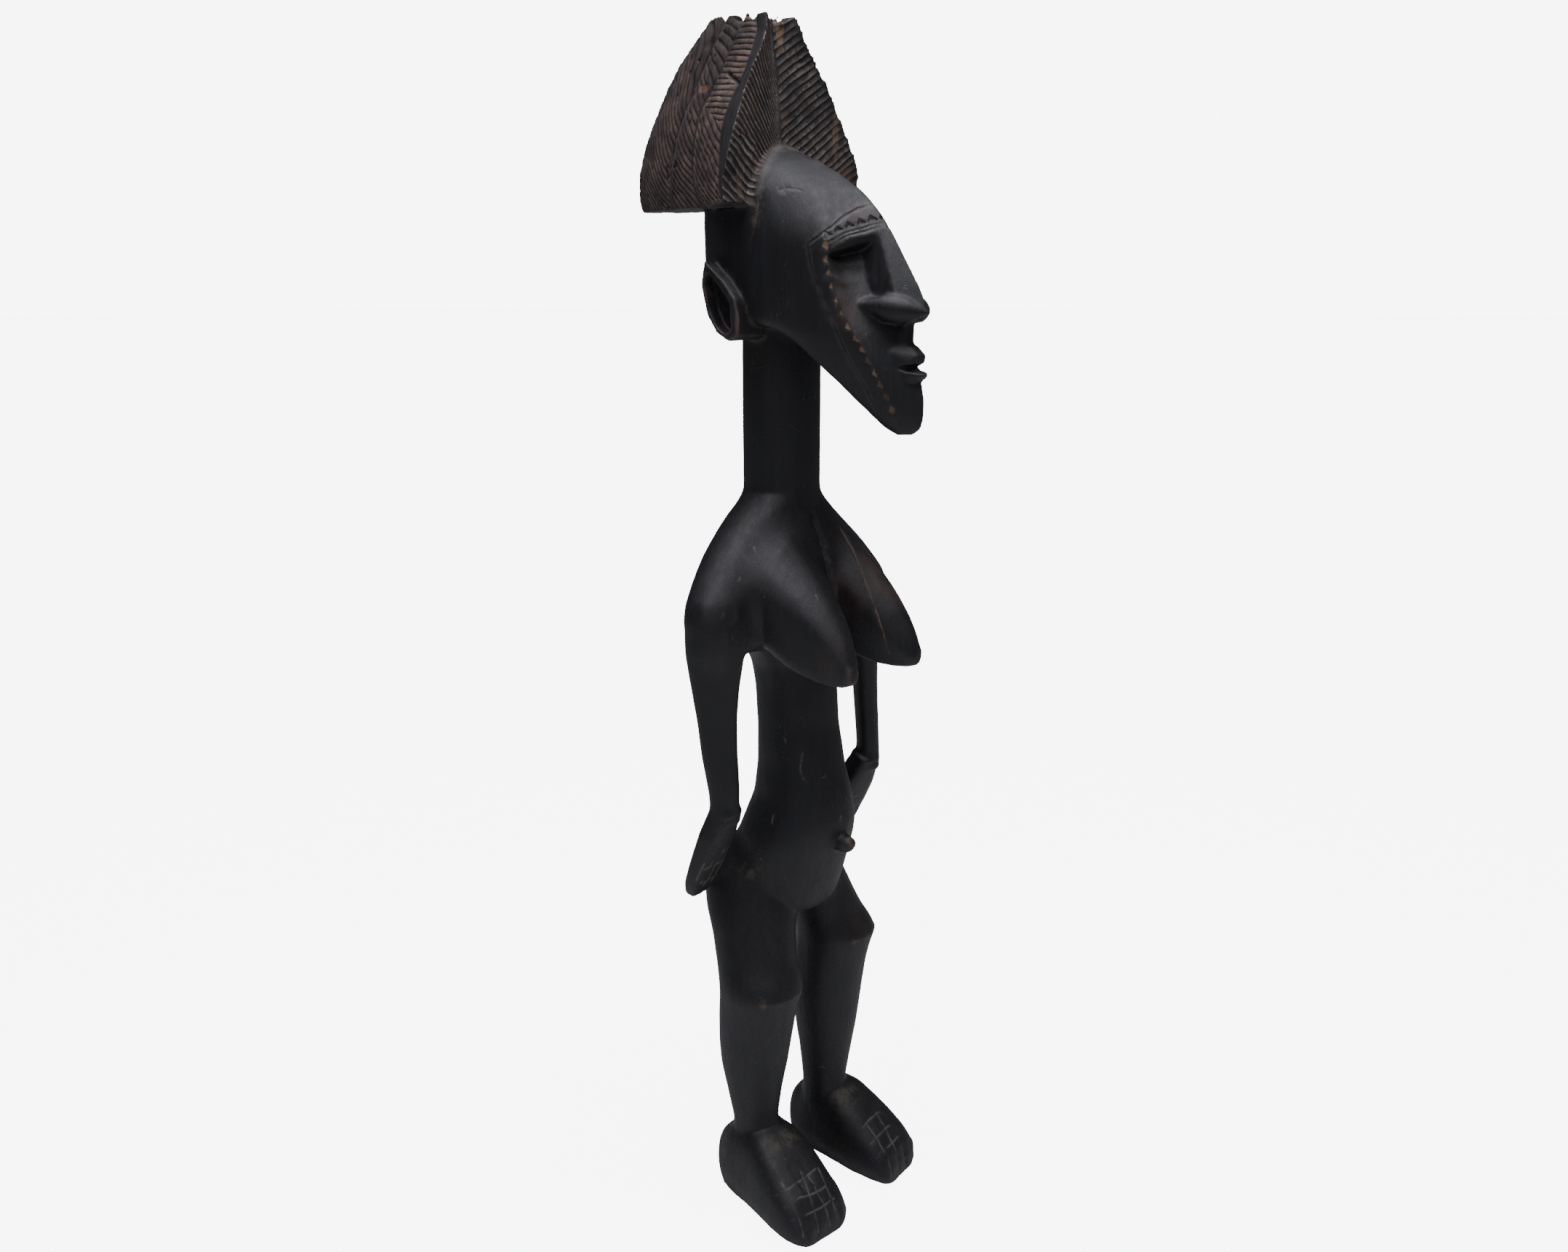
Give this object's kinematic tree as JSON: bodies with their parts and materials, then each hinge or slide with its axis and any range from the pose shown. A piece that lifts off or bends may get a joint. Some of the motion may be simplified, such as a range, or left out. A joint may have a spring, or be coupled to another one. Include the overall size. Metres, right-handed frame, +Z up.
{
  "type": "power figure",
  "caption": "Standing female figure carved from dark wood, with a tall lobed crest of hatched hair, a long pointed face, a cylindrical neck, pointed breasts and hands held back at the hips.",
  "frame": {"origin": "middle of the bounding box, on the ground under the feet", "axes": "+Z up along the figure, the figure faces -Y, +X to the figure's own left"},
  "size_m": [0.19, 0.244, 0.8044],
  "materials": {
    "dark_wood": "satin, aged dark patina with wear and dry dirt in the carved hair"
  },
  "bodies": {
    "root": {"carved_figure": "dark_wood"}
  },
  "joints": []
}
